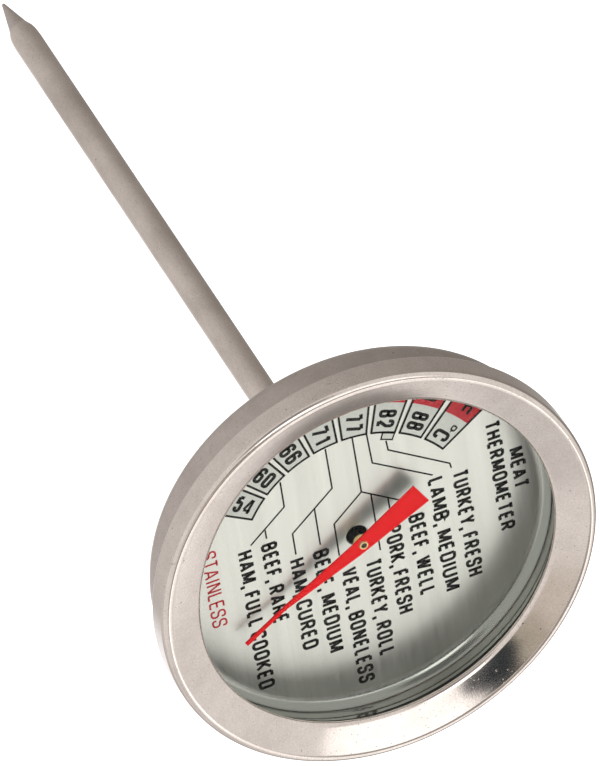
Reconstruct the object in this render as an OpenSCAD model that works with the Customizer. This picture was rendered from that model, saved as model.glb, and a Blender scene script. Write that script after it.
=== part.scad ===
// Dial meat thermometer: a crimped stainless case on a pointed stem.
// +Z is the direction that the dial faces. The stem runs down -Z on the axis, and
// the origin is on that axis where the bare stem leaves its bush on the case back.

/* [Case] */
// Outer diameter of the bezel
bezel_d = 60; // [58:0.5:64]
// Width of the sloping face between the crest and the window
face_w = 5.2; // [4.6:0.1:6]
// Height of the bezel, from its rear edge to its crest
bezel_h = 3.9; // [3.6:0.1:4.4]
// Slope of the bezel's face, down towards the window
face_slope = 21.3; // [16:0.1:24]
// Depth of the cup behind the bezel
cup_h = 7.2; // [7:0.1:9]
// Outer corner radius between the cup's back and its wall
cup_corner = 2.6; // [1.2:0.1:3]
// Thickness of the sheet that the cup is drawn from
sheet = 0.5; // [0.4:0.05:0.6]

/* [Dial] */
// Height of the dial's face above the back of the cup
dial_rise = 3.2; // [3.1:0.1:3.4]
// Thickness of the dial pan's sheet
dial_t = 0.4; // [0.3:0.05:0.5]
// Radius of the hole at the middle of the dial
dial_hole_r = 1.45; // [1.2:0.05:2]
// Thickness of the glass
glass_t = 1.4; // [1:0.1:1.5]

/* [Pointer] */
// Length from the axis to the pointer's tip
tip_reach = 19.8; // [16:0.1:22]
// Length from the axis to where the taper ends and the narrow tip starts
taper_reach = 13; // [10:0.5:15]
// Length from the axis to the end of the pointer's tail
tail_reach = 9.95; // [6:0.05:12]
// Width across the tail
tail_w = 3.5; // [2.6:0.05:4]
// Width of the narrow tip
tip_w = 0.55; // [0.4:0.05:1]
// Height of the pointer's underside above the dial's face, at the hub
pointer_rise = 2; // [1.9:0.05:2.3]
// Angle of the pointer at room temperature, anticlockwise from the dial's right
pointer_rest = 299; // [0:1:359]

/* [Stem] */
// Outside diameter of the stem
stem_d = 3.9; // [3.7:0.05:4.2]
// Thickness of the stem tube's wall
stem_wall = 0.3; // [0.25:0.05:0.4]
// Length of the bare stem, from the bush to the point
stem_l = 121.5; // [110:0.5:150]
// Length of the solid cone at the point
cone_l = 6.35; // [5:0.05:8]
// Radius of the cone where the tube is welded to it
cone_r = 1.45; // [1.35:0.05:1.5]
// Outer diameter of the bush that holds the stem in the cup
bush_d = 6.8; // [6.4:0.1:8]

/* [Movement] */
// Diameter of the pointer shaft
shaft_d = 0.8; // [0.7:0.05:0.9]
// Number of turns in the bimetal helix
coil_turns = 19; // [12:1:22]
// Axial distance between the turns
coil_pitch = 2; // [1.8:0.1:2.2]
// Width of the bimetal strip
strip_w = 1.4; // [1.1:0.1:1.5]

/* [Hidden] */
// Faces on a round surface
$fn = 96;
// Running clearance between the shaft and its guide bushes, on the radius
run = 0.05;

// Bezel, from the outside in
bezel_r = bezel_d / 2;
window_r = bezel_r - face_w;
face_t = 0.6;
crest_r = 0.8;
skirt_edge = 0.3;

// Cup, from the back to the front
panel_step = 0.35;
cup_step = 2;
panel_in = 9.5;
panel_r = bezel_r - panel_in;
cup_r = bezel_r - cup_step;
back_z = 1.6;
panel_z = back_z + panel_step;
bezel_z = back_z + cup_h;
crest_z = bezel_z + bezel_h - crest_r;
rim_z = bezel_z + sheet;
rim_gap = 0.1;
rim_r = bezel_r - face_t - rim_gap;
rim_root = cup_r + sheet;

// Dial pan, its seat for the glass and the flange held on the cup's rim
dial_z = back_z + dial_rise;
pan_gap = 0.2;
pan_r = cup_r - sheet - pan_gap;
pan_fillet = 2.1;
flange_t = 0.3;
flange_gap = 0.1;
seat_w = 0.6;
seat_t = 0.2;
seat_drop = 1.3;
bead_h = 1;
seat_z = rim_z + sheet - seat_drop;
glass_z = seat_z + seat_t;
glass_gap = 0.1;
glass_r = pan_r - dial_t - glass_gap;
gasket_z = glass_z + glass_t;
gasket_t = 0.35;
gasket_back = 0.25;

// Stem and the bush that it is pressed into
stem_r = stem_d / 2;
bore_r = stem_r - stem_wall;
press_step = 0.25;
press_r = stem_r - press_step;
press_bore = press_r - stem_wall;
press_drop = 0.6;
seal_t = 0.3;
seal_inset = 0.2;
washer_t = 0.35;
washer_w = 1.8;
nut_t = 1.1;
nut_w = 1.5;
nut_z = panel_z + sheet + washer_t;
stem_top = nut_z + nut_t;
weld_z = -stem_l + cone_l;
point_r = 0.25;
spigot_r = 1.1;
spigot_l = 2.6;
spigot_step = 0.4;
bush_r = bush_d / 2;
bush_edge = 0.5;
neck_wall = 0.6;
neck_r = stem_r + neck_wall;
neck_rise = 0.2;
neck_top = stem_top + neck_rise;
// Swage above the weld: height above it, and how far inside the tube's full radius
swage = [[0.9, 0.16], [1.8, 0.06], [3.5, 0]];

// Shaft, hub and pointer
shaft_r = shaft_d / 2;
blade_t = 0.25;
blade_z = dial_z + pointer_rise;
blade_flat = 1.3;
taper_dip = 0.74;
tip_dip = 0.38;
cut = 1;
hub_r = 0.67;
hub_edge = 0.1;
hub_neck_r = 0.57;
hub_foot_r = 1.1;
hub_foot_h = 0.6;
hub_ring_t = 0.22;
hub_top = blade_z + blade_t + hub_ring_t;
shaft_sink = 0.2;
shaft_top = hub_top - shaft_sink;

// Bimetal helix, between the anchor in the stem's point and the collar on the shaft
coil_in = 1.1;
coil_out = 1.3;
coil_steps = 16;
coil_l = coil_turns * coil_pitch + strip_w;
anchor_l = 4;
anchor_gap = 2.5;
anchor_z = weld_z + spigot_l + anchor_gap;
coil_z = anchor_z + anchor_l;
collar_z = coil_z + coil_l;
collar_l = 2.5;
stub_l = 1.5;
stub_gap = 0.05;
stub_r = coil_in - stub_gap;
guide_gap = 1.5;
low_guide_z = collar_z + collar_l + guide_gap;
guide_l = 2;
top_guide_l = 4.2;
guide_head = 0.3;
guide_head_w = 0.15;

// Points of an arc, from angle a to angle b
function arc(c, r, a, b, n = 6) =
    [for (i = [0:n]) let (t = a + (b - a) * i / n) [c[0] + r * cos(t), c[1] + r * sin(t)]];

// A tube or a plain ring standing on z
module ring(outer, inner, z, h) {
    translate([0, 0, z]) difference() {
        cylinder(r = outer, h = h);
        translate([0, 0, -1]) cylinder(r = inner, h = h + 2);
    }
}

// Drawn cup: stepped back panel, rounded corner, wall and outturned rim
module case_cup() {
    corner = [cup_r - cup_corner, back_z + cup_corner];
    color("silver") rotate_extrude() polygon(concat(
        [[neck_r, panel_z], [panel_r, panel_z], [panel_r + panel_step, back_z]],
        arc(corner, cup_corner, -90, 0),
        [[cup_r, bezel_z], [rim_root, rim_z], [rim_r, rim_z], [rim_r, rim_z + sheet]],
        [[cup_r - sheet, rim_z + sheet]],
        arc(corner, cup_corner - sheet, 0, -90),
        [[panel_r + panel_step, back_z + sheet], [panel_r, panel_z + sheet]],
        [[neck_r, panel_z + sheet]]));
}

// Rolled bezel: lip crimped under the cup's rim, skirt, crest and sloping face
module bezel_ring() {
    crest = [bezel_r - crest_r, crest_z];
    up = 90 + face_slope;
    // Middle of the face's rounded inner edge
    run_in = (crest[0] - window_r - face_t / 2) / cos(face_slope);
    mid = crest_r - face_t / 2;
    edge = [crest[0] + mid * cos(up) - run_in * cos(face_slope) + mid * sin(face_slope),
            crest[1] + mid * sin(up) - run_in * sin(face_slope)];
    color("gainsboro") rotate_extrude() polygon(concat(
        [[cup_r, bezel_z], [bezel_r - skirt_edge, bezel_z], [bezel_r, bezel_z + skirt_edge]],
        arc(crest, crest_r, 0, up, 10),
        arc(edge, face_t / 2, up, up + 180),
        arc(crest, crest_r - face_t, up, 0, 4),
        [[bezel_r - face_t, rim_z], [rim_root, rim_z]]));
}

// Flat glass, resting on the seat in the dial pan
module lens_glass() {
    color("lightblue", 0.3) translate([0, 0, glass_z]) cylinder(r = glass_r, h = glass_t);
}

// Seal between the glass and the inner edge of the bezel
module lens_gasket() {
    color("dimgray") ring(glass_r, window_r + gasket_back, gasket_z, gasket_t);
}

// Soft ring between the glass and its seat in the dial pan
module lens_seat() {
    color("dimgray") ring(glass_r, pan_r - dial_t - seat_w + glass_gap, seat_z, seat_t);
}

// Dial pan: flat face with its hole, wall, seat for the glass and clamped flange
module dial_plate() {
    wall = pan_r - dial_t;
    top = rim_z + sheet;
    foot = [wall - pan_fillet, dial_z + pan_fillet];
    color("whitesmoke") rotate_extrude() polygon(concat(
        [[dial_hole_r, dial_z - dial_t]],
        arc(foot, pan_fillet + dial_t, -90, 0),
        [[pan_r, seat_z - bead_h], [pan_r - seat_w, seat_z - bead_h + dial_t]],
        [[pan_r - seat_w, seat_z - dial_t], [pan_r, seat_z], [pan_r, top]],
        [[rim_r - flange_gap, top], [rim_r - flange_gap, top + flange_t], [wall, top + flange_t]],
        [[wall, seat_z], [wall - seat_w, seat_z], [wall - seat_w, seat_z - bead_h + dial_t]],
        [[wall, seat_z - bead_h]],
        arc(foot, pan_fillet, 0, -90),
        [[dial_hole_r, dial_z]]));
}

// Flanged bush through the cup's back, pressed on the stem
module stem_bush() {
    color("silver") rotate_extrude() polygon([
        [press_r, 0], [bush_r - bush_edge, 0], [bush_r, bush_edge], [bush_r, panel_z - seal_t],
        [neck_r, panel_z - seal_t], [neck_r, neck_top], [press_r, neck_top]]);
}

// Soft washer between the bush's flange and the cup's back
module stem_seal() {
    color("dimgray") ring(bush_r - seal_inset, neck_r, panel_z - seal_t, seal_t);
}

// Plain washer under the nut
module stem_washer() {
    color("lightgray") ring(neck_r + washer_w, neck_r, panel_z + sheet, washer_t);
}

// Thin nut that clamps the bush in the cup
module stem_lock_nut() {
    color("silver") translate([0, 0, nut_z]) difference() {
        cylinder(r = neck_r + nut_w, h = nut_t, $fn = 6);
        translate([0, 0, -1]) cylinder(r = neck_r, h = nut_t + 2);
    }
}

// Stem tube: necked upper end in the bush, and a swaged lower end where the cone is welded on
module stem_tube() {
    color("silver") rotate_extrude() polygon(concat(
        [[spigot_r, weld_z], [cone_r, weld_z]],
        [for (p = swage) [stem_r - p[1], weld_z + p[0]]],
        [[stem_r, 0], [press_r, 0], [press_r, stem_top], [press_bore, stem_top]],
        [[press_bore, -press_drop], [bore_r, -press_drop - stem_wall]],
        [[bore_r, weld_z + spigot_l + spigot_step], [spigot_r, weld_z + spigot_l]]));
}

// Solid cone with a slightly blunt point and a spigot in the tube
module probe_tip() {
    color("darkgray") rotate_extrude() polygon(concat(
        [[0, -stem_l]],
        arc([0, -stem_l + point_r], point_r, -70, -10, 4),
        [[cone_r, weld_z], [spigot_r, weld_z], [spigot_r, weld_z + spigot_l]],
        [[0, weld_z + spigot_l]]));
}

// Black plastic guide in the stem's top, with a head that stops it at the tube's end
module upper_guide_bush() {
    color("black") difference() {
        union() {
            translate([0, 0, stem_top - top_guide_l]) cylinder(r = press_bore, h = top_guide_l);
            translate([0, 0, stem_top]) cylinder(r = press_bore + guide_head_w, h = guide_head);
        }
        translate([0, 0, stem_top - top_guide_l - 1])
            cylinder(r = shaft_r + run, h = top_guide_l + guide_head + 2);
    }
}

// Brass guide just above the helix
module lower_guide_bush() {
    color("goldenrod") ring(bore_r, shaft_r + run, low_guide_z, guide_l);
}

// Plug fixed in the stem, with the stub that holds the helix's lower end
module coil_anchor() {
    color("darkgoldenrod") {
        translate([0, 0, anchor_z]) cylinder(r = bore_r, h = anchor_l);
        translate([0, 0, coil_z]) cylinder(r = stub_r, h = stub_l);
    }
}

// Helix of bimetal strip: a flat ribbon wound round the axis
module bimetal_coil() {
    n = coil_turns * coil_steps;
    pts = [for (i = [0:n]) let (a = 360 * i / coil_steps, z = coil_z + coil_pitch * i / coil_steps)
           for (p = [[coil_in, 0], [coil_out, 0], [coil_out, strip_w], [coil_in, strip_w]])
               [p[0] * cos(a), p[0] * sin(a), z + p[1]]];
    sides = [for (i = [0:n - 1]) for (k = [0:3]) let (m = (k + 1) % 4)
             [4 * i + k, 4 * i + 4 + k, 4 * i + 4 + m, 4 * i + m]];
    color("peru") polyhedron(pts, concat([[0, 1, 2, 3]], sides, [[for (k = [3:-1:0]) 4 * n + k]]));
}

// Collar pressed on the shaft, with the stub that holds the helix's upper end
module coil_collar() {
    color("goldenrod") difference() {
        union() {
            translate([0, 0, collar_z]) cylinder(r = coil_out, h = collar_l);
            translate([0, 0, collar_z - stub_l]) cylinder(r = stub_r, h = stub_l);
        }
        translate([0, 0, collar_z - stub_l - 1]) cylinder(r = shaft_r, h = collar_l + stub_l + 2);
    }
}

// Straight wire from the helix to the pointer
module pointer_shaft() {
    foot_z = collar_z - stub_l;
    color("lightgray") translate([0, 0, foot_z]) cylinder(r = shaft_r, h = shaft_top - foot_z);
}

// Brass hub: foot, neck through the pointer and a peened ring over it
module pointer_hub() {
    color("gold") difference() {
        union() {
            translate([0, 0, blade_z - hub_foot_h]) cylinder(r = hub_foot_r, h = hub_foot_h);
            translate([0, 0, blade_z]) cylinder(r = hub_neck_r, h = blade_t);
            translate([0, 0, blade_z + blade_t])
                cylinder(r1 = hub_r, r2 = hub_r - hub_edge, h = hub_ring_t);
        }
        translate([0, 0, blade_z - hub_foot_h - 1]) cylinder(r = shaft_r, h = hub_foot_h + 3);
    }
}

// Red wedge: wide square tail, straight taper and a narrow tip. It is flat round the hub,
// dips towards the dial along the taper and rises a little along the tip.
module pointer_blade() {
    half = [[-tail_reach, tail_w / 2], [taper_reach, tip_w / 2], [tip_reach, tip_w / 2]];
    under = [[-tail_reach, 0], [blade_flat, 0], [taper_reach, -taper_dip], [tip_reach, -tip_dip]];
    color("red") rotate([0, 0, pointer_rest]) translate([0, 0, blade_z]) difference() {
        intersection() {
            translate([0, 0, -taper_dip - cut]) linear_extrude(height = taper_dip + blade_t + 2 * cut)
                polygon(concat(half, [for (i = [2:-1:0]) [half[i][0], -half[i][1]]]));
            rotate([90, 0, 0]) translate([0, 0, -tail_w]) linear_extrude(height = 2 * tail_w)
                polygon(concat(under, [for (i = [3:-1:0]) under[i] + [0, blade_t]]));
        }
        translate([0, 0, -cut]) cylinder(r = hub_neck_r, h = blade_t + 2 * cut);
    }
}

case_cup();
bezel_ring();
lens_glass();
lens_gasket();
lens_seat();
dial_plate();
stem_bush();
stem_seal();
stem_washer();
stem_lock_nut();
stem_tube();
probe_tip();
upper_guide_bush();
lower_guide_bush();
coil_anchor();
bimetal_coil();
coil_collar();
pointer_shaft();
pointer_hub();
pointer_blade();
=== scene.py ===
"""Looks of the dial meat thermometer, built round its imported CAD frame.

+Z is the way the dial faces, +X the way its lettering reads, and the stem runs down -Z.
Lengths are in millimetres until a mesh is made, and in metres after that.
"""

import math

import bmesh
import bpy
from mathutils import Matrix, Vector

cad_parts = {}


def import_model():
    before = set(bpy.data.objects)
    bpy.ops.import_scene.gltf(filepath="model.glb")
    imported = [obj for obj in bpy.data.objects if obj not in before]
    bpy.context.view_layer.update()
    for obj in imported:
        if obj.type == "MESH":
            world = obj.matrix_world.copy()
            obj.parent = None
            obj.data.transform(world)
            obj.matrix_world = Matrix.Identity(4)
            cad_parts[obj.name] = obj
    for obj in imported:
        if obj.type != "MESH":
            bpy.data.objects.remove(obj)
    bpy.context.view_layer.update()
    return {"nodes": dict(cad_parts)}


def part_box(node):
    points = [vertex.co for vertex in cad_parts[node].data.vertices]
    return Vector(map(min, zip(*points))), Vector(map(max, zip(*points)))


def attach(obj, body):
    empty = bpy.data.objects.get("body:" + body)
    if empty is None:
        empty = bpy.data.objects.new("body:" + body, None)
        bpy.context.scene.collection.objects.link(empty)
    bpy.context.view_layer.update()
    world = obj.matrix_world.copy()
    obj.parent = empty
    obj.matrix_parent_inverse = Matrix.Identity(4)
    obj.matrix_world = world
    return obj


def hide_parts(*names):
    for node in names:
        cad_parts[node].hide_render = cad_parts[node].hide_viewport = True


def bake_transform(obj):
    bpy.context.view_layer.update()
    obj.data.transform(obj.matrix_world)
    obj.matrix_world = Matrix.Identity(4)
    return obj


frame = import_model()

MM = 0.001


def z_range(node):
    """Lowest and highest z of a CAD node, in mm."""
    low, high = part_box(node)
    return low.z / MM, high.z / MM


def outer_radius(node):
    """Largest radius of a round CAD node, in mm."""
    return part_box(node)[1].x / MM


# ---------------------------------------------------------------- sizes from the frame

BEZEL_REAR, BEZEL_CREST = z_range("bezel_ring")
BEZEL_R = outer_radius("bezel_ring")
CUP_BACK = z_range("case_cup")[0]
RIM_R = outer_radius("case_cup")
CUP_STEP = 2.0          # how far the cup's wall lies inside the bezel's
CUP_R = BEZEL_R - CUP_STEP
SHEET = 0.5             # steel of the cup
PAN_SHEET = 0.4         # aluminium of the dial pan
DIAL_FACE = z_range("dial_plate")[0] + PAN_SHEET
PAN_TOP = z_range("dial_plate")[1]
SEAT_Z = z_range("lens_seat")[0]
STEM_R = 1.95
JOIN_R = 1.45           # where the stem's swaged end meets the cone
SPIGOT_R, SPIGOT_L = 1.1, 2.6   # the cone's spigot in the tube
TIP_END = z_range("probe_tip")[0]
WELD_Z, STEM_TOP = z_range("stem_tube")
COIL_LOW, COIL_HIGH = z_range("bimetal_coil")


# ---------------------------------------------------------------- mesh helpers

def link(name, mesh):
    """A new object with this mesh, in the scene."""
    piece = bpy.data.objects.new(name, mesh)
    bpy.context.scene.collection.objects.link(piece)
    return piece


def finish_mesh(name, mesh, angle=32):
    """Smooth faces, with edges sharper than the angle left crisp."""
    bm = bmesh.new()
    bm.from_mesh(mesh)
    bmesh.ops.recalc_face_normals(bm, faces=bm.faces)
    for edge in bm.edges:
        edge.smooth = not (edge.is_manifold and edge.calc_face_angle(0) > math.radians(angle))
    for face in bm.faces:
        face.smooth = True
    bm.to_mesh(mesh)
    bm.free()
    return link(name, mesh)


def arc(centre, radius, start, end, steps):
    """Points of an arc in the (r, z) plane, angles in degrees."""
    points = []
    for i in range(steps + 1):
        t = math.radians(start + (end - start) * i / steps)
        points.append((centre[0] + radius * math.cos(t), centre[1] + radius * math.sin(t)))
    return points


def supported(outline, least=1.0, inset=0.05):
    """The outline with extra points near both ends of each long side, so that it shades flat."""
    points = []
    for a, b in zip(outline, outline[1:] + outline[:1]):
        points.append(a)
        length = math.dist(a, b)
        if length > least:
            for t in (inset / length, 1 - inset / length):
                points.append((a[0] + (b[0] - a[0]) * t, a[1] + (b[1] - a[1]) * t))
    return points


def lathe(name, outline, steps=256):
    """A closed (r, z) outline turned round the Z axis. Points at r = 0 become one point."""
    verts, rings, faces = [], [], []
    for r, z in supported(outline):
        if r == 0:
            rings.append([len(verts)] * steps)
            verts.append((0, 0, z * MM))
            continue
        rings.append(list(range(len(verts), len(verts) + steps)))
        for k in range(steps):
            t = 2 * math.pi * k / steps
            verts.append((r * MM * math.cos(t), r * MM * math.sin(t), z * MM))
    for a, b in zip(rings, rings[1:] + rings[:1]):
        for k in range(steps):
            corners = [a[k], a[(k + 1) % steps], b[(k + 1) % steps], b[k]]
            face = list(dict.fromkeys(corners))
            if len(face) > 2:
                faces.append(face)
    mesh = bpy.data.meshes.new(name)
    mesh.from_pydata(verts, [], faces)
    return finish_mesh(name, mesh)


def flat_solid(bm, outline, low, high):
    """A thin slab with the given (x, y) outline, added to a bmesh. Everything is in mm."""
    bottom = [bm.verts.new((x * MM, y * MM, low * MM)) for x, y in outline]
    top = [bm.verts.new((x * MM, y * MM, high * MM)) for x, y in outline]
    count = len(outline)
    bm.faces.new(list(reversed(bottom)))
    bm.faces.new(top)
    for i in range(count):
        j = (i + 1) % count
        bm.faces.new([bottom[i], bottom[j], top[j], top[i]])


def polar(r, angle):
    """(x, y) of a point at a radius and an angle in degrees."""
    t = math.radians(angle)
    return (r * math.cos(t), r * math.sin(t))


def ring_sector(r0, r1, a0, a1, steps=8):
    """(x, y) outline between two radii and two angles."""
    angles = [a0 + (a1 - a0) * i / steps for i in range(steps + 1)]
    return [polar(r1, a) for a in angles] + [polar(r0, a) for a in reversed(angles)]


def stroke(points, width):
    """(x, y) outline of a line of constant width through the points, with mitred corners."""
    half, left, right = width / 2, [], []
    least_cos = 0.3  # a sharper corner than this isn't drawn out to its full point
    for i, p in enumerate(points):
        p = Vector(p)
        before = (p - Vector(points[i - 1])).normalized() if i else None
        after = (Vector(points[i + 1]) - p).normalized() if i + 1 < len(points) else None
        along = ((before or after) + (after or before)).normalized()
        side = Vector((-along.y, along.x))
        edge = before or after
        reach = half / max(least_cos, side.dot(Vector((-edge.y, edge.x))))
        left.append(tuple(p + side * reach))
        right.append(tuple(p - side * reach))
    return left + right[::-1]


# ---------------------------------------------------------------- node helpers

class Shader:
    """The node tree of a material or of the world, with short calls that make and join nodes."""

    def __init__(self, name, owner=None):
        self.material = owner or bpy.data.materials.new(name)
        self.material.use_nodes = True
        self.tree = self.material.node_tree
        self.tree.nodes.clear()
        kind = "ShaderNodeOutputWorld" if owner else "ShaderNodeOutputMaterial"
        self.output = self.tree.nodes.new(kind)
        self.place = self.node("ShaderNodeTexCoord").outputs["Generated" if owner else "Object"]

    def node(self, kind, inputs=None, **settings):
        """A new node. An input is a value or the socket that feeds it."""
        made = self.tree.nodes.new(kind)
        for key, value in settings.items():
            setattr(made, key, value)
        for key, value in (inputs or {}).items():
            socket = made.inputs[key]
            if isinstance(value, bpy.types.NodeSocket):
                self.tree.links.new(value, socket)
            else:
                socket.default_value = value
        return made

    def math(self, operation, a, b):
        return self.node("ShaderNodeMath", {0: a, 1: b}, operation=operation).outputs[0]

    def scaled(self, vector, factors):
        made = self.node("ShaderNodeVectorMath", {0: vector, 1: factors}, operation="MULTIPLY")
        return made.outputs[0]

    def noise(self, vector, scale, detail=3.0, rough=0.5):
        made = self.node("ShaderNodeTexNoise", {"Vector": vector, "Scale": scale,
                                                "Detail": detail, "Roughness": rough})
        return made.outputs["Fac"]

    def ramp(self, value, low, high, to_low=0.0, to_high=1.0):
        """to_low up to the low value, to_high from the high value on, and between them a slope."""
        made = self.node("ShaderNodeMapRange", {"Value": value, "From Min": low, "From Max": high,
                                                "To Min": to_low, "To Max": to_high})
        return made.outputs["Result"]

    def mix(self, factor, a, b):
        made = self.node("ShaderNodeMix", {0: factor, 6: a, 7: b}, data_type="RGBA")
        return made.outputs[2]

    def radius(self):
        """Distance from the Z axis, in metres."""
        flat = self.scaled(self.place, (1, 1, 0))
        return self.node("ShaderNodeVectorMath", {0: flat}, operation="LENGTH").outputs["Value"]

    def turned(self, stretch):
        """Place round the axis: way round, radius and z, each scaled, for marks of turning."""
        parts = self.node("ShaderNodeSeparateXYZ", {0: self.place}).outputs
        angle = self.math("ARCTAN2", parts["Y"], parts["X"])
        way_round = self.math("MULTIPLY", angle, 25 * MM)
        joined = self.node("ShaderNodeCombineXYZ",
                           {"X": way_round, "Y": self.radius(), "Z": parts["Z"]}).outputs[0]
        return self.scaled(joined, stretch)

    def pits(self, vector, scale, size, share):
        """1 at small round pits, 0 elsewhere. Only a share of the cells has one."""
        cell = self.node("ShaderNodeTexVoronoi", {"Vector": vector, "Scale": scale})
        spot = self.ramp(cell.outputs["Distance"], size * 0.5, size, 1.0, 0.0)
        pick = self.node("ShaderNodeSeparateXYZ", {0: cell.outputs["Color"]}).outputs["X"]
        return self.math("MULTIPLY", spot, self.math("LESS_THAN", pick, share))

    def bump(self, height, strength, distance):
        made = self.node("ShaderNodeBump",
                         {"Height": height, "Strength": strength, "Distance": distance})
        return made.outputs["Normal"]

    def surface(self, **inputs):
        """The Principled shader, joined to the output. Names have _ for a space."""
        named = {key.replace("_", " "): value for key, value in inputs.items()}
        made = self.node("ShaderNodeBsdfPrincipled", named)
        self.tree.links.new(made.outputs[0], self.output.inputs[0])
        return self.material

    def along(self, aim):
        """Cosine of the angle between the place, as a direction, and the aim."""
        made = self.node("ShaderNodeVectorMath", {0: self.place, 1: aim}, operation="DOT_PRODUCT")
        return made.outputs["Value"]

    def towards(self, azimuth, elevation, inner, outer):
        """1 within the inner angle of a direction, falling to 0 at the outer angle."""
        edges = {"Value": self.along(direction(azimuth, elevation)),
                 "From Min": math.cos(math.radians(outer)),
                 "From Max": math.cos(math.radians(inner))}
        made = self.node("ShaderNodeMapRange", edges, interpolation_type="SMOOTHSTEP")
        return made.outputs["Result"]


def grey(value):
    return (value, value, value, 1)


def direction(azimuth, elevation):
    """Unit vector towards an azimuth from +X and an elevation, in degrees."""
    a, e = math.radians(azimuth), math.radians(elevation)
    return Vector((math.cos(e) * math.cos(a), math.cos(e) * math.sin(a), math.sin(e)))


# ---------------------------------------------------------------- materials

DARK_GRAIN = (0.22, 0.22, 0.22, 1)
PIT_BROWN = (0.12, 0.09, 0.08, 1)


def steel(name, clean, worn, rough, pit_share=0.2, along=(1, 1, 1)):
    """Satin stainless steel: fine grain, faint turning lines, smudges and small dark pits."""
    s = Shader(name)
    smudge = s.noise(s.place, 90, 4, 0.6)
    cloud = s.noise(s.scaled(s.place, along), 420, 5, 0.65)
    fine = s.noise(s.place, 3900, 2, 0.7)
    pits = s.math("MAXIMUM", s.pits(s.place, 900, 0.16, pit_share * 0.35),
                  s.pits(s.place, 2600, 0.22, pit_share))
    tone = s.math("ADD", s.ramp(smudge, 0.35, 0.7, 0, 0.55), s.ramp(cloud, 0.35, 0.7, 0, 0.45))
    colour = s.mix(tone, clean, worn)
    colour = s.mix(s.ramp(fine, 0.3, 0.75, 0, 0.24), colour, DARK_GRAIN)
    colour = s.mix(s.math("MULTIPLY", pits, 0.55), colour, PIT_BROWN)
    lines = s.noise(s.turned((40, 1600, 1600)), 1.0, 3, 0.6)
    height = s.math("ADD", s.math("MULTIPLY", fine, 0.35), s.math("MULTIPLY", lines, 0.25))
    height = s.math("SUBTRACT", height, s.math("MULTIPLY", pits, 1.2))
    roughness = s.math("ADD", s.ramp(smudge, 0.3, 0.7, rough * 0.8, rough * 1.3),
                       s.ramp(fine, 0.3, 0.8, 0, rough * 0.3))
    return s.surface(Base_Color=colour, Metallic=1.0, Roughness=roughness,
                     Normal=s.bump(height, 0.35, 0.02 * MM))


def dial_metal():
    """Aluminium brushed along the reading direction. Its drawn edge is smoother, and its colour
    there is darkened as painted shade on the pan's wall.
    """
    wall_shade_from, wall_shade_full = 25.2 * MM, 25.8 * MM
    smooth_from, smooth_full = 25.35 * MM, 25.7 * MM
    s = Shader("dial_aluminium")
    brush = s.noise(s.scaled(s.place, (60, 2600, 2600)), 1.0, 3, 0.6)
    bands = s.noise(s.scaled(s.place, (18, 420, 420)), 1.0, 3, 0.5)
    speck = s.noise(s.place, 4200, 2, 0.6)
    tone = s.math("ADD", s.ramp(brush, 0.3, 0.7, 0, 0.4), s.ramp(bands, 0.35, 0.7, 0, 0.6))
    colour = s.mix(tone, (0.77, 0.765, 0.735, 1), (0.9, 0.895, 0.865, 1))
    colour = s.mix(s.ramp(speck, 0.55, 0.8, 0, 0.25), colour, grey(0.4))
    # Painted shade: the colour is darkened towards the pan's fillet and wall.
    colour = s.mix(s.ramp(s.radius(), wall_shade_from, wall_shade_full), colour, (0.31, 0.32, 0.3, 1))
    brushed = s.ramp(brush, 0.3, 0.7, 0.36, 0.44)
    rough = s.ramp(s.radius(), smooth_from, smooth_full, brushed, 0.14)
    return s.surface(Base_Color=colour, Metallic=1.0, Roughness=rough,
                     Normal=s.bump(brush, 0.06, 0.01 * MM))


def print_ink(name, colour, edge):
    """Screen-printed ink: slightly uneven, satin."""
    s = Shader(name)
    patch = s.noise(s.place, 1800, 3, 0.6)
    return s.surface(Base_Color=s.mix(s.ramp(patch, 0.35, 0.75), colour, edge),
                     Roughness=s.ramp(patch, 0.3, 0.7, 0.4, 0.55),
                     Normal=s.bump(patch, 0.2, 0.005 * MM), Specular_IOR_Level=0.15)


def red_paint():
    """Semi-gloss red paint with a faint orange peel, and a near-black underside, painted shade that
    makes the pointer's reflection in the dial read as a dark shadow.
    """
    s = Shader("pointer_red")
    peel = s.noise(s.place, 1500, 2, 0.5)
    dust = s.noise(s.place, 5000, 2, 0.6)
    colour = s.mix(s.ramp(peel, 0.3, 0.7), (0.88, 0.006, 0.01, 1), (0.97, 0.01, 0.016, 1))
    normal = s.node("ShaderNodeTexCoord").outputs["Normal"]
    facing = s.node("ShaderNodeSeparateXYZ", {0: normal}).outputs["Z"]
    # Painted shade: faces that point down are near-black.
    colour = s.mix(s.math("LESS_THAN", facing, -0.5), colour, grey(0.02))
    return s.surface(Base_Color=colour, Roughness=s.ramp(dust, 0.3, 0.8, 0.32, 0.5),
                     Normal=s.bump(peel, 0.15, 0.01 * MM), Specular_IOR_Level=0.12)


def brass():
    """Turned brass, a little stained."""
    s = Shader("brass")
    lines = s.noise(s.turned((30, 6000, 6000)), 1.0, 3, 0.6)
    stain = s.noise(s.place, 1500, 3, 0.6)
    colour = s.mix(s.ramp(stain, 0.35, 0.7), (0.95, 0.76, 0.42, 1), (0.76, 0.55, 0.26, 1))
    return s.surface(Base_Color=colour, Metallic=1.0,
                     Roughness=s.ramp(lines, 0.3, 0.7, 0.2, 0.34),
                     Normal=s.bump(lines, 0.3, 0.01 * MM))


def plastic():
    """Matt black acetal with fine turning lines, made near-black as painted shade so that the
    dial's hole reads dark.
    """
    s = Shader("guide_plastic")
    lines = s.noise(s.turned((30, 5000, 5000)), 1.0, 3, 0.6)
    return s.surface(Base_Color=s.mix(lines, grey(0.002), grey(0.007)), Roughness=0.6,
                     Normal=s.bump(lines, 0.3, 0.01 * MM), Specular_IOR_Level=0.06)


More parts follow.
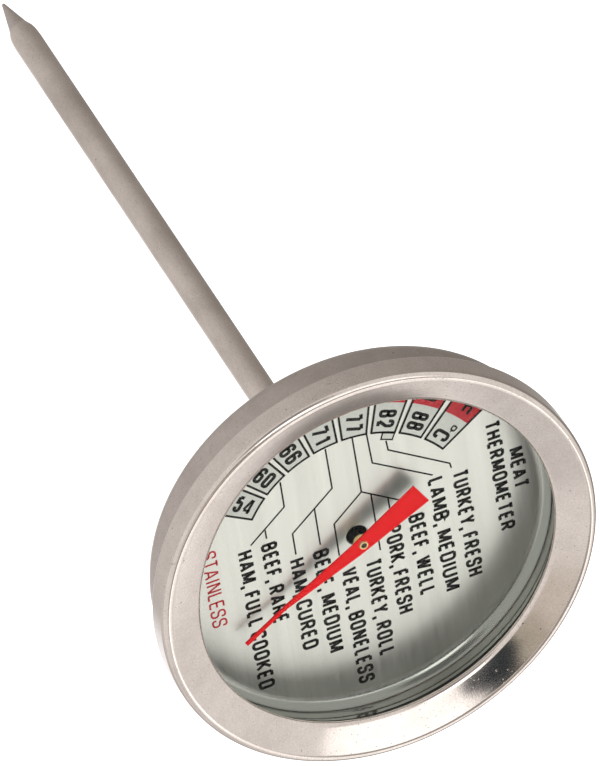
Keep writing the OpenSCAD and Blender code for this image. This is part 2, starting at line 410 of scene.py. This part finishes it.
def rubber():
    """Matt black silicone rubber."""
    s = Shader("seal_rubber")
    fine = s.noise(s.place, 3500, 3, 0.6)
    return s.surface(Base_Color=s.mix(fine, grey(0.012), grey(0.03)), Roughness=0.6,
                     Normal=s.bump(fine, 0.3, 0.01 * MM))


def bimetal():
    """Rolled bimetal strip with straw and blue heat tints."""
    s = Shader("bimetal")
    tint = s.noise(s.place, 260, 2, 0.5)
    rolled = s.noise(s.turned((60, 9000, 9000)), 1.0, 3, 0.6)
    colour = s.mix(s.ramp(tint, 0.35, 0.65), (0.55, 0.42, 0.28, 1), (0.38, 0.36, 0.4, 1))
    return s.surface(Base_Color=colour, Metallic=1.0,
                     Roughness=s.ramp(rolled, 0.3, 0.7, 0.25, 0.4),
                     Normal=s.bump(rolled, 0.25, 0.01 * MM))


def glass():
    """Clear flat glass. It has a low IOR and a clear rear face, which keep its reflections weak."""
    s = Shader("lens_glass")
    dust = s.noise(s.place, 700, 4, 0.7)
    clear = s.node("ShaderNodeBsdfTransparent", {"Color": (0.965, 0.968, 0.955, 1)})
    shine = s.node("ShaderNodeBsdfGlossy", {"Color": grey(1.0),
                                            "Roughness": s.ramp(dust, 0.5, 0.9, 0.0, 0.02)})
    front = s.math("SUBTRACT", 1.0, s.node("ShaderNodeNewGeometry").outputs["Backfacing"])
    share = s.math("MULTIPLY", s.node("ShaderNodeFresnel", {"IOR": 1.14}).outputs[0], front)
    both = s.node("ShaderNodeMixShader", {0: share, 1: clear.outputs[0], 2: shine.outputs[0]})
    s.tree.links.new(both.outputs[0], s.output.inputs[0])
    return s.material


CASE_STEEL = steel("case_steel", (0.62, 0.55, 0.51, 1), (0.46, 0.40, 0.37, 1), rough=0.24)
BEZEL_STEEL = steel("bezel_steel", (0.80, 0.72, 0.67, 1), (0.66, 0.58, 0.53, 1), rough=0.1)
STEM_STEEL = steel("stem_steel", (0.80, 0.71, 0.65, 1), (0.56, 0.49, 0.44, 1), rough=0.27,
                   pit_share=0.3, along=(1, 1, 0.2))
TIP_STEEL = steel("tip_steel", (0.64, 0.56, 0.52, 1), (0.46, 0.40, 0.37, 1), rough=0.3)
# Painted shade: near-black steel for the pointer's shaft, whose end reads as the dark centre of the
# hub.
SHAFT_SHADE_STEEL = steel("dark_steel", (0.10, 0.09, 0.08, 1), (0.05, 0.045, 0.04, 1), rough=0.35)
INNER_STEEL = steel("inner_steel", (0.62, 0.62, 0.61, 1), (0.5, 0.5, 0.49, 1), rough=0.25)
DIAL = dial_metal()
BRASS = brass()
GUIDE_PLASTIC = plastic()
RUBBER = rubber()
BIMETAL = bimetal()
GLASS = glass()
RED_PAINT = red_paint()
BLACK_INK = print_ink("print_black", grey(0.008), (0.03, 0.027, 0.025, 1))
RED_INK = print_ink("print_red", (0.62, 0.03, 0.045, 1), (0.7, 0.09, 0.1, 1))
WHITE_INK = print_ink("print_white", (0.74, 0.76, 0.73, 1), (0.82, 0.83, 0.8, 1))


def give(piece, material):
    """Make this the piece's only material."""
    piece.data.materials.clear()
    piece.data.materials.append(material)


def new_piece(piece, material, replaces=None):
    """A piece of the case, with its material and the CAD node that it replaces."""
    give(piece, material)
    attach(piece, "case")
    if replaces:
        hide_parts(replaces)
    return piece


# ---------------------------------------------------------------- turned metal pieces

def bezel():
    """Rolled bezel: lip, skirt, crest and the sloping face, which steepens towards the window."""
    slope, face_w, face_t, crest_r, roll_r, edge_r = 21.3, 5.2, 0.6, 0.8, 1.5, 0.28
    window_r = BEZEL_R - face_w
    crest = (BEZEL_R - crest_r, BEZEL_CREST - crest_r)
    roll = (crest[0], BEZEL_CREST - roll_r)
    start = (roll[0] + roll_r * math.cos(math.radians(90 + slope)),
             roll[1] + roll_r * math.sin(math.radians(90 + slope)))
    run = start[0] - window_r
    drop = run * math.tan(math.radians(slope))
    swell = 0.045 * run
    face = [(start[0] - run * t, start[1] - drop * t + swell * t * (1 - t))
            for t in [i / 12 for i in range(1, 12)]]
    inner = [(r, z - face_t / math.cos(math.radians(slope))) for r, z in reversed(face)]
    tip = (window_r, start[1] - drop - face_t / 2)
    outline = [(CUP_R, BEZEL_REAR)]
    outline += arc((BEZEL_R - edge_r, BEZEL_REAR + edge_r), edge_r, -90, 0, 6)
    outline += arc(crest, crest_r, 0, 90, 16) + arc(roll, roll_r, 92, 90 + slope, 9)
    outline += face
    rounding = [(0.12, 0.27), (0.02, 0.1), (0.02, -0.1), (0.12, -0.27)]
    outline += [(tip[0] + dr, tip[1] + dz) for dr, dz in rounding]
    outline += inner
    outline += [(BEZEL_R - face_t, crest[1]), (BEZEL_R - face_t, BEZEL_REAR + SHEET),
                (CUP_R + SHEET, BEZEL_REAR + SHEET)]
    piece = lathe("bezel_shell", outline)
    # One side of the rolled edge is pressed in a little, most of all at the window
    middle, spread, outer_dent, inner_dent = math.radians(-106), math.radians(42), 0.36, 0.6
    for v in piece.data.vertices:
        r, z = math.hypot(v.co.x, v.co.y) / MM, v.co.z / MM
        share = math.exp(-((math.atan2(v.co.y, v.co.x) - middle) / spread) ** 2)
        if z > start[1] - drop - 2 * face_t:
            inward = outer_dent + inner_dent * min(1, max(0, (start[0] - r) / run))
        else:
            inward = outer_dent * min(1, max(0, (r - RIM_R) / face_t))
        keep = 1 - share * inward / r
        v.co.x, v.co.y = v.co.x * keep, v.co.y * keep
    return piece


def case_shell():
    """Drawn cup with a stepped back panel and its hidden rim."""
    corner_r, step, panel_inset, neck = 2.6, 0.35, 9.5, 2.55
    panel_r = BEZEL_R - panel_inset
    corner = (CUP_R - corner_r, CUP_BACK + corner_r)
    outline = [(neck, CUP_BACK + step)]
    outline += arc((panel_r - 0.4, CUP_BACK + step - 0.4), 0.4, 90, 45, 4)
    outline += arc((panel_r + step + 0.3, CUP_BACK + 0.4), 0.4, -135, -90, 4)
    outline += arc(corner, corner_r, -90, 0, 16)
    outline += [(CUP_R, BEZEL_REAR), (CUP_R + SHEET, BEZEL_REAR + SHEET),
                (RIM_R, BEZEL_REAR + SHEET), (RIM_R, BEZEL_REAR + 2 * SHEET),
                (CUP_R - SHEET, BEZEL_REAR + 2 * SHEET)]
    outline += arc(corner, corner_r - SHEET, 0, -90, 16)
    outline += [(panel_r + step, CUP_BACK + SHEET), (panel_r, CUP_BACK + step + SHEET),
                (neck, CUP_BACK + step + SHEET)]
    return lathe("case_shell", outline)


def dial_pan():
    """Dial pan with its hole, filleted wall, bead that carries the glass, and clamped flange."""
    fillet, seat_w, hole_r, edge_r, gap, rim_gap = 2.1, 0.6, 1.45, 0.14, 0.2, 0.1
    outer = CUP_R - SHEET - gap
    wall = outer - PAN_SHEET
    foot = (wall - fillet, DIAL_FACE + fillet)
    top = BEZEL_REAR + 2 * SHEET
    outline = [(hole_r, DIAL_FACE - PAN_SHEET)]
    outline += arc(foot, fillet + PAN_SHEET, -90, 0, 10)
    outline += [(outer, SEAT_Z - 1), (outer - seat_w, SEAT_Z - 0.6),
                (outer - seat_w, SEAT_Z - PAN_SHEET), (outer, SEAT_Z), (outer, top),
                (RIM_R - rim_gap, top), (RIM_R - rim_gap, PAN_TOP), (wall, PAN_TOP)]
    outline += [(wall, SEAT_Z), (wall - seat_w, SEAT_Z), (wall - seat_w, SEAT_Z - 0.5)]
    outline += [(wall - 0.1, SEAT_Z - 0.95), (wall, SEAT_Z - 1.15)]
    outline += arc(foot, fillet, 0, -90, 18)
    outline += arc((hole_r + edge_r, DIAL_FACE - edge_r), edge_r, 90, 180, 5)
    return lathe("dial_pan", outline)


def stem_shell():
    """Stem tube: swaged lower end, long plain length, neck in the bush."""
    neck_r, neck_in, bore = 1.7, 1.4, 1.65
    outline = [(SPIGOT_R, WELD_Z), (JOIN_R, WELD_Z)]
    # Rise above the weld, and radius there
    swage = [(0.15, 1.5), (0.45, 1.64), (0.9, 1.78), (1.4, 1.86), (2.2, 1.915), (3.2, STEM_R)]
    outline += [(r, WELD_Z + rise) for rise, r in swage]
    outline += [(STEM_R, -60), (STEM_R, 0), (neck_r, 0), (neck_r, STEM_TOP),
                (neck_in, STEM_TOP), (neck_in, -0.6), (bore, -0.9), (bore, WELD_Z + 3.0),
                (SPIGOT_R, WELD_Z + SPIGOT_L)]
    return lathe("stem_shell", outline, 96)


def tip_shell():
    """Ground cone with a slightly blunt point and the spigot that enters the tube."""
    blunt = 0.25
    outline = [(0, TIP_END)]
    outline += arc((0, TIP_END + blunt), blunt, -75, -14, 6)
    outline += [(JOIN_R, WELD_Z), (SPIGOT_R, WELD_Z), (SPIGOT_R, WELD_Z + SPIGOT_L),
                (0, WELD_Z + SPIGOT_L)]
    return lathe("tip_shell", outline, 96)


def weld_bead():
    """Thin uneven bead where the cone meets the tube."""
    major, minor, around, section = 1.44, 0.075, 96, 8
    verts, faces = [], []
    for k in range(around):
        t = 2 * math.pi * k / around
        wobble = (0.03 * math.sin(3 * t + 0.7) + 0.018 * math.sin(11 * t)
                  + 0.012 * math.sin(23 * t + 1))
        size = minor * (1 + 0.3 * math.sin(7 * t + 2) + 0.2 * math.sin(17 * t))
        for j in range(section):
            a = 2 * math.pi * j / section
            r = major + size * math.cos(a)
            verts.append((r * MM * math.cos(t), r * MM * math.sin(t),
                          (WELD_Z + wobble + size * math.sin(a)) * MM))
    for k in range(around):
        for j in range(section):
            m, n = (k + 1) % around, (j + 1) % section
            faces.append([k * section + j, m * section + j, m * section + n, k * section + n])
    mesh = bpy.data.meshes.new("weld_bead")
    mesh.from_pydata(verts, [], faces)
    return finish_mesh("weld_bead", mesh, 60)


def helix():
    """Smooth bimetal helix in place of the faceted solid."""
    inner, outer, width, pitch, turns, steps = 1.1, 1.3, 1.4, 2.0, 19, 48  # steps in each turn
    verts, faces = [], []
    count = turns * steps
    for i in range(count + 1):
        a = 2 * math.pi * i / steps
        z = COIL_LOW + pitch * i / steps
        for r, dz in ((inner, 0), (outer, 0), (outer, width), (inner, width)):
            verts.append((r * MM * math.cos(a), r * MM * math.sin(a), (z + dz) * MM))
    for i in range(count):
        for k in range(4):
            m = (k + 1) % 4
            faces.append([4 * i + k, 4 * i + 4 + k, 4 * i + 4 + m, 4 * i + m])
    faces.append([0, 1, 2, 3])
    faces.append([4 * count + k for k in (3, 2, 1, 0)])
    mesh = bpy.data.meshes.new("bimetal_helix")
    mesh.from_pydata(verts, [], faces)
    return finish_mesh("bimetal_helix", mesh)


new_piece(bezel(), BEZEL_STEEL, replaces="bezel_ring")
new_piece(case_shell(), CASE_STEEL, replaces="case_cup")
new_piece(dial_pan(), DIAL, replaces="dial_plate")
new_piece(stem_shell(), STEM_STEEL, replaces="stem_tube")
new_piece(tip_shell(), TIP_STEEL, replaces="probe_tip")
new_piece(weld_bead(), TIP_STEEL)

coil = helix()
give(coil, BIMETAL)
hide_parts("bimetal_coil")
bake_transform(coil)


# ---------------------------------------------------------------- print on the dial

PRINT_T = 0.02                  # thickness of one layer of ink
PITCH = 14.6                    # degrees from one cell of the scale to the next
FIRST_CELL = 232.1              # angle of the first cell's middle
CELL_HALF = 6.45                # half of a cell, in degrees
CELL_IN, CELL_OUT = 15.6, 24.8  # radii of the scale's inner and outer lines
BAND_IN = 20.3                  # radius where the red band starts
CELSIUS_R, FAHRENHEIT_R = 17.85, 22.7   # radii of the numbers' middles
LINE, FINE_LINE, LEADER = 0.3, 0.2, 0.22    # widths of the cells', the box's and the leaders' lines
CELSIUS = ["54", "60", "66", "71", "77", "82", "88", "°C"]
FAHRENHEIT = ["130", "140", "150", "160", "170", "180", "190", "°F"]
ROW_TOP, ROW_PITCH = 13.7, 3.32
# Each row's words and their left and right ends
ROWS = [("TURKEY, FRESH", -4.4, 13.1), ("LAMB, MEDIUM", -4.6, 14.1), ("BEEF, WELL", 0.0, 13.4),
        ("PORK, FRESH", 0.6, 15.1), ("TURKEY, ROLL", 4.8, 20.7), ("VEAL, BONELESS", 4.8, 23.9),
        ("BEEF, MEDIUM", 0.3, 17.3), ("HAM, CURED", 0.4, 15.4), ("BEEF, RARE", -3.7, 9.5),
        ("HAM, FULL COOKED", -3.7, 19.2)]
# Corners of the lines that join the rows to the scale
LEADERS = [
    [(-12.6, -8.9), (-8.5, -8.9), (-4.3, -14.1)],
    [(-5.9, -11.9), (-4.5, -11.9)],
    [(-15.3, -2.3), (-8.75, -2.25), (-3.8, -8.4), (-0.35, -8.4)],
    [(-6.5, -5.0), (-0.5, -5.0)],
    [(-15.5, 1.45), (-6.55, 1.5), (-3.0, -2.75), (2.3, -2.75)],
    [(-6.55, 1.5), (-1.8, 8.2), (-0.6, 8.2)],
    [(-5.7, 2.7), (3.7, 2.75)],
    [(-4.0, 4.85), (-0.1, 4.9)],
    [(-15.4, 3.4), (-10.5, 3.55), (-5.2, 11.2)],
    [(-13.2, 5.8), (-11.65, 5.9), (-6.1, 13.7), (-5.3, 13.8)],
]


def layer(number):
    """Low and high z of a print layer. Each layer lies on the one before."""
    return DIAL_FACE + number * PRINT_T, DIAL_FACE + (number + 1) * PRINT_T


def print_piece(name, outlines, number, material):
    """Outlines in (x, y) as ink, in the print layer of that number."""
    bm = bmesh.new()
    low, high = layer(number)
    for outline in outlines:
        flat_solid(bm, outline, low, high)
    mesh = bpy.data.meshes.new(name)
    bmesh.ops.recalc_face_normals(bm, faces=bm.faces)
    bm.to_mesh(mesh)
    bm.free()
    return new_piece(link(name, mesh), material)


# Each letter's width, as a share of its height, and its strokes in a box 1 wide and 1 high.
# A stroke that starts with "round" has round corners.
BOWL = ["round", (0, 0.5), (0, 1), (1, 1), (1, 0), (0, 0), (0, 0.5)]
STEM = [(0, 0), (0, 1)]
UPPER_BOWL = ["round", (0, 1), (0.97, 1), (0.97, 0.48), (0, 0.48)]
SIX = ["round", (1, 0.74), (1, 1), (0, 1), (0, 0), (1, 0), (1, 0.58), (0, 0.58)]
GLYPHS = {
    "A": (0.52, [[(0, 0), (0.44, 1)], [(0.56, 1), (1, 0)], [(0.18, 0.27), (0.82, 0.27)]]),
    "B": (0.48, [STEM, ["round", (0, 1), (0.94, 1), (0.94, 0.52), (0, 0.52)],
                 ["round", (0, 0.52), (1, 0.52), (1, 0), (0, 0)]]),
    "C": (0.48, [["round", (1, 0.7), (1, 1), (0, 1), (0, 0), (1, 0), (1, 0.3)]]),
    "D": (0.48, [STEM, ["round", (0, 1), (1, 1), (1, 0), (0, 0)]]),
    "E": (0.42, [STEM, [(0, 1), (1, 1)], [(0, 0.5), (0.92, 0.5)], [(0, 0), (1, 0)]]),
    "F": (0.41, [STEM, [(0, 1), (1, 1)], [(0, 0.5), (0.9, 0.5)]]),
    "H": (0.49, [STEM, [(1, 0), (1, 1)], [(0, 0.52), (1, 0.52)]]),
    "I": (0.16, [[(0.5, 0), (0.5, 1)]]),
    "K": (0.5, [STEM, [(0.03, 0.36), (0.97, 1)], [(0.3, 0.56), (1, 0)]]),
    "L": (0.4, [STEM, [(0, 0), (1, 0)]]),
    "M": (0.62, [STEM, [(1, 0), (1, 1)], [(0.06, 1), (0.46, 0.08)], [(0.94, 1), (0.54, 0.08)]]),
    "N": (0.5, [STEM, [(1, 0), (1, 1)], [(0.06, 1), (0.94, 0)]]),
    "O": (0.49, [BOWL]),
    "P": (0.47, [STEM, UPPER_BOWL]),
    "R": (0.49, [STEM, UPPER_BOWL, [(0.5, 0.48), (1, 0)]]),
    "S": (0.47, [["round", (1, 0.72), (1, 1), (0, 1), (0, 0.55), (1, 0.48), (1, 0), (0, 0),
                  (0, 0.28)]]),
    "T": (0.45, [[(0.5, 0), (0.5, 1)], [(0, 1), (1, 1)]]),
    "U": (0.49, [["round", (0, 1), (0, 0), (1, 0), (1, 1)]]),
    "V": (0.5, [[(0, 1), (0.44, 0)], [(0.56, 0), (1, 1)]]),
    "W": (0.72, [[(0, 1), (0.23, 0)], [(0.27, 0), (0.48, 1)], [(0.52, 1), (0.73, 0)],
                 [(0.77, 0), (1, 1)]]),
    "Y": (0.5, [[(0, 1), (0.5, 0.42)], [(1, 1), (0.5, 0.42)], [(0.5, 0.46), (0.5, 0)]]),
    "0": (0.48, [BOWL]),
    "1": (0.3, [[(0.1, 0.78), (0.75, 1)], [(0.8, 0), (0.8, 1)]]),
    "2": (0.48, [["round", (0, 0.7), (0, 1), (1, 1), (1, 0.56), (0, 0.04)], [(0, 0), (1, 0)]]),
    "3": (0.48, [["round", (0, 0.72), (0, 1), (0.96, 1), (0.96, 0.52), (0.35, 0.52)],
                 ["round", (0.35, 0.52), (1, 0.52), (1, 0), (0, 0), (0, 0.28)]]),
    "4": (0.58, [[(0.76, 0), (0.76, 1)], [(0.62, 1), (0, 0.25)], [(0, 0.2), (1, 0.2)]]),
    "5": (0.48, [[(0.08, 1), (0.96, 1)], [(0.1, 1), (0.04, 0.5)],
                 ["round", (0.04, 0.56), (0.3, 0.64), (1, 0.64), (1, 0), (0, 0), (0, 0.28)]]),
    "6": (0.48, [SIX]),
    "7": (0.46, [[(0, 1), (1, 1)], [(0.97, 0.96), (0.35, 0)]]),
    "8": (0.49, [["round", (0.05, 0.76), (0.05, 1), (0.95, 1), (0.95, 0.52), (0.05, 0.52),
                  (0.05, 0.76)],
                 ["round", (0, 0.26), (0, 0.52), (1, 0.52), (1, 0), (0, 0), (0, 0.26)]]),
    "9": (0.48, [["round"] + [(1 - x, 1 - y) for x, y in SIX[1:]]]),
    "°": (0.32, [["round", (0, 0.88), (0, 1.02), (1, 1.02), (1, 0.74), (0, 0.74), (0, 0.88)]]),
    ",": (0.12, [[(0.6, 0.1), (0.6, -0.04), (0.1, -0.24)]]),
    " ": (0.1, []),
}
GLYPH_GAP = 0.115
# Signs drawn with a finer pen, and its share of the usual width
FINE_PEN = {"°": 0.5, "4": 0.8}


def rounded(points, radius, steps=4):
    """The points with each corner between them turned into a curve, close to an arc."""
    points = [Vector(p) for p in points]
    path = [points[0]]
    for before, corner, after in zip(points, points[1:], points[2:]):
        back, on = before - corner, after - corner
        half_turn = back.angle(on) / 2
        reach = min(radius / math.tan(half_turn), back.length * 0.5, on.length * 0.5)
        start, end = corner + back.normalized() * reach, corner + on.normalized() * reach
        for i in range(steps + 1):
            t = i / steps
            path.append(start * (1 - t) ** 2 + corner * 1.7 * t * (1 - t) + end * t ** 2
                        + (start + end) * 0.15 * t * (1 - t))
    return path + [points[-1]]


def word_outlines(text, length, cap, weight):
    """Outlines of a word of the given length, with its lower left corner at (0, 0)."""
    natural = sum(GLYPHS[c][0] for c in text) + GLYPH_GAP * (len(text) - 1)
    stretch = length / natural
    outlines, x = [], 0.0
    for c in text:
        width = GLYPHS[c][0] * stretch
        pen = weight * FINE_PEN.get(c, 1)
        for line in GLYPHS[c][1]:
            bent = line[0] == "round"
            points = [(x + pen / 2 + px * (width - pen), pen / 2 + py * (cap - pen))
                      for px, py in (line[1:] if bent else line)]
            if bent:
                points = rounded(points, 0.45 * (width - pen))
            outlines.append(stroke(points, pen))
        x += width + GLYPH_GAP * stretch
    return outlines


def lettering(name, words, number, material):
    """Words as (text, x, y, length, cap height, pen, angle, centred).

    x and y are the word's middle if it is centred, and otherwise its lower left corner.
    """
    outlines = []
    for text, x, y, length, cap, weight, angle, centred in words:
        turn = Matrix.Rotation(math.radians(angle), 2)
        shift = Vector((length, cap)) / 2 if centred else Vector((0, 0))
        for outline in word_outlines(text, length, cap, weight):
            outlines.append([tuple(Vector((x, y)) + turn @ (Vector(p) - shift)) for p in outline])
    return print_piece(name, outlines, number, material)


def cell_angles(i):
    """Middle, low and high angle of a cell of the scale."""
    middle = FIRST_CELL - PITCH * i
    return middle, middle - CELL_HALF, middle + CELL_HALF


def cell_lines(low, high, r0, r1, width):
    """The four sides of one cell, as outlines."""
    turn = math.degrees(width / 2 / ((r0 + r1) / 2))
    sides = [stroke([polar(r0 + width / 2, angle), polar(r1 - width / 2, angle)], width)
             for angle in (low + turn, high - turn)]
    return [ring_sector(r0, r0 + width, low, high), ring_sector(r1 - width, r1, low, high)] + sides


def dial_print():
    """The scale in two rows, the leaders, the words and the generic mark."""
    fills, bands, frames, celsius, fahrenheit = [], [], [], [], []
    for i in range(len(CELSIUS)):
        middle, low, high = cell_angles(i)
        fills.append(ring_sector(CELL_IN, BAND_IN, low, high))
        bands.append(ring_sector(BAND_IN, CELL_OUT, low, high))
        frames += cell_lines(low, high, CELL_IN, CELL_OUT, LINE)
        x, y = polar(CELSIUS_R, middle)
        celsius.append((CELSIUS[i], x, y, 2.75, 2.5, 0.47, middle + 180, True))
        x, y = polar(FAHRENHEIT_R, middle)
        fahrenheit.append((FAHRENHEIT[i], x, y, 3.3, 2.3, 0.42, middle + 180, True))
    # The small box under the cell of 82 degrees
    box_low, box_high, box_in = 152.7, 159.7, 14.55
    fills.append(ring_sector(box_in, CELL_IN, box_low, box_high))
    frames += cell_lines(box_low, box_high, box_in, CELL_IN + LINE / 2, FINE_LINE)
    print_piece("print_cell_fill", fills, 0, WHITE_INK)
    print_piece("print_band", bands, 0, RED_INK)
    print_piece("print_cell_lines", frames, 1, BLACK_INK)
    leaders = [stroke(line, LEADER) for line in LEADERS]
    print_piece("print_leaders", leaders, 0, BLACK_INK)
    lettering("print_numbers", celsius + fahrenheit, 1, BLACK_INK)
    words = [("MEAT", -4.9, 21.6, 6.65, 2.15, 0.43, 0, False),
             ("THERMOMETER", -10.35, 18.95, 18.0, 2.15, 0.43, 0, False)]
    for i, (text, left, right) in enumerate(ROWS):
        words.append((text, left, ROW_TOP - ROW_PITCH * i, right - left, 2.25, 0.43, 0, False))
    mark = [("STAINLESS", -5.6, -20.9, 12.4, 2.1, 0.26, 0, False)]
    lettering("print_words", words, 0, BLACK_INK)
    lettering("print_mark", mark, 0, RED_INK)


dial_print()


# ---------------------------------------------------------------- CAD nodes that stay

KEPT = {
    "lens_glass": GLASS, "lens_gasket": RUBBER, "lens_seat": RUBBER,
    "stem_bush": CASE_STEEL, "stem_seal": RUBBER,
    "stem_washer": INNER_STEEL, "stem_lock_nut": INNER_STEEL,
    "upper_guide_bush": GUIDE_PLASTIC, "lower_guide_bush": BRASS,
    "coil_anchor": BRASS, "coil_collar": BRASS,
    "pointer_shaft": SHAFT_SHADE_STEEL, "pointer_hub": BRASS, "pointer_blade": RED_PAINT,
}
for node_name, material in KEPT.items():
    give(frame["nodes"][node_name], material)


# ---------------------------------------------------------------- stage

# Lengths from here on are in metres
FLOOR_Z, FLOOR_REACH = -0.55, 12
SHOT_AZIMUTH, SHOT_ELEVATION, SHOT_ROLL = -161.2, 48.49, 146.18
SHOT_DISTANCE = 2.5
AIM = Vector((-14.455, 0.07, -10.09)) * MM
LENS = 918.8
WARM_AZIMUTH = 262      # where the surroundings are brightest below the horizon

# Brighter and darker parts of the surroundings, later ones over earlier ones:
# azimuth, elevation, inner and outer angle, colour
LOBES = [
    (20, 31, 10, 20, (1.4, 1.39, 1.37, 1)),
    (15, 65, 11, 18, (0.4, 0.39, 0.38, 1)),
    (-161, 42, 12, 26, (0.35, 0.34, 0.33, 1)),
    (-161, 74, 6, 12, (3.2, 3.2, 3.17, 1)),
    (100, 77.5, 14, 17.5, (1.75, 1.75, 1.74, 1)),
    (-160, 86, 5, 8, (1.75, 1.75, 1.74, 1)),
    (-50, 72, 8, 18, (0.74, 0.69, 0.63, 1)),
    (-62, 77, 5, 10, (0.53, 0.5, 0.42, 1)),
    (-90, 86.2, 3.3, 4.3, (0.012, 0.022, 0.03, 1)),
    (-55, 82.5, 4.2, 5.2, (0.012, 0.022, 0.03, 1)),
    (-76, 79.5, 4.2, 5.2, (0.012, 0.022, 0.03, 1)),
    (-14, 29, 10, 22, (0.8, 0.79, 0.79, 1)),
    (11, 2, 5, 13, (0.3, 0.29, 0.28, 1)),
    (1, -48, 5, 25, (1.15, 1.14, 1.16, 1)),
]


def camera():
    """The photo's point of view, far off with a long lens."""
    back = direction(SHOT_AZIMUTH, SHOT_ELEVATION)
    right = Vector((0, 0, 1)).cross(back).normalized()
    right.rotate(Matrix.Rotation(math.radians(SHOT_ROLL), 3, back))
    up = back.cross(right)
    data = bpy.data.cameras.new("camera")
    data.lens = LENS
    data.clip_end = 20
    shot = bpy.data.objects.new("camera", data)
    bpy.context.scene.collection.objects.link(shot)
    turn = Matrix((right, up, back)).transposed().to_4x4()
    shot.matrix_world = Matrix.Translation(AIM + back * SHOT_DISTANCE) @ turn
    bpy.context.scene.camera = shot


def floor():
    """Plain white floor, which glows a little to stay white, and isn't seen in reflections."""
    mesh = bpy.data.meshes.new("floor")
    corners = [(-1, -1), (1, -1), (1, 1), (-1, 1)]
    mesh.from_pydata([(x * FLOOR_REACH, y * FLOOR_REACH, FLOOR_Z) for x, y in corners],
                     [], [[0, 1, 2, 3]])
    plane = link("floor", mesh)
    s = Shader("floor")
    cloud = s.noise(s.place, 3, 2, 0.5)
    give(plane, s.surface(Base_Color=s.mix(cloud, grey(0.9), grey(0.94)), Roughness=0.8,
                          Emission_Color=grey(1.0), Emission_Strength=0.6))
    plane.visible_glossy = False


def key_light():
    """A soft round light that casts the pointer's shadow."""
    distance = 1.6
    data = bpy.data.lights.new("key", "AREA")
    data.shape = "DISK"
    data.size = 0.4
    data.energy = 0.35
    lamp = bpy.data.objects.new("key", data)
    bpy.context.scene.collection.objects.link(lamp)
    toward = direction(28, 50)
    lamp.location = toward * distance
    lamp.rotation_euler = toward.to_track_quat("Z", "Y").to_euler()


def world():
    """Plain pale surroundings, darker below the horizon, with the lobes."""
    made = bpy.data.worlds.new("studio")
    bpy.context.scene.world = made
    s = Shader("studio", made)
    height = s.node("ShaderNodeSeparateXYZ", {0: s.place}).outputs["Z"]
    warm_side = s.ramp(s.along(direction(WARM_AZIMUTH, 0)), -0.7, 0.7)
    below = s.mix(warm_side, (0.34, 0.32, 0.3, 1), (0.78, 0.76, 0.74, 1))
    above = s.mix(s.ramp(height, 0.1, 0.9), (0.97, 0.96, 0.95, 1), (0.95, 0.94, 0.92, 1))
    colour = s.mix(s.ramp(height, 0.03, 0.17), below, above)
    for azimuth, elevation, inner, outer, shade in LOBES:
        colour = s.mix(s.towards(azimuth, elevation, inner, outer), colour, shade)
    back = s.node("ShaderNodeBackground", {"Color": colour, "Strength": 1.0})
    s.tree.links.new(back.outputs[0], s.output.inputs[0])


camera()
floor()
world()
key_light()
bpy.context.scene.view_settings.view_transform = "Standard"
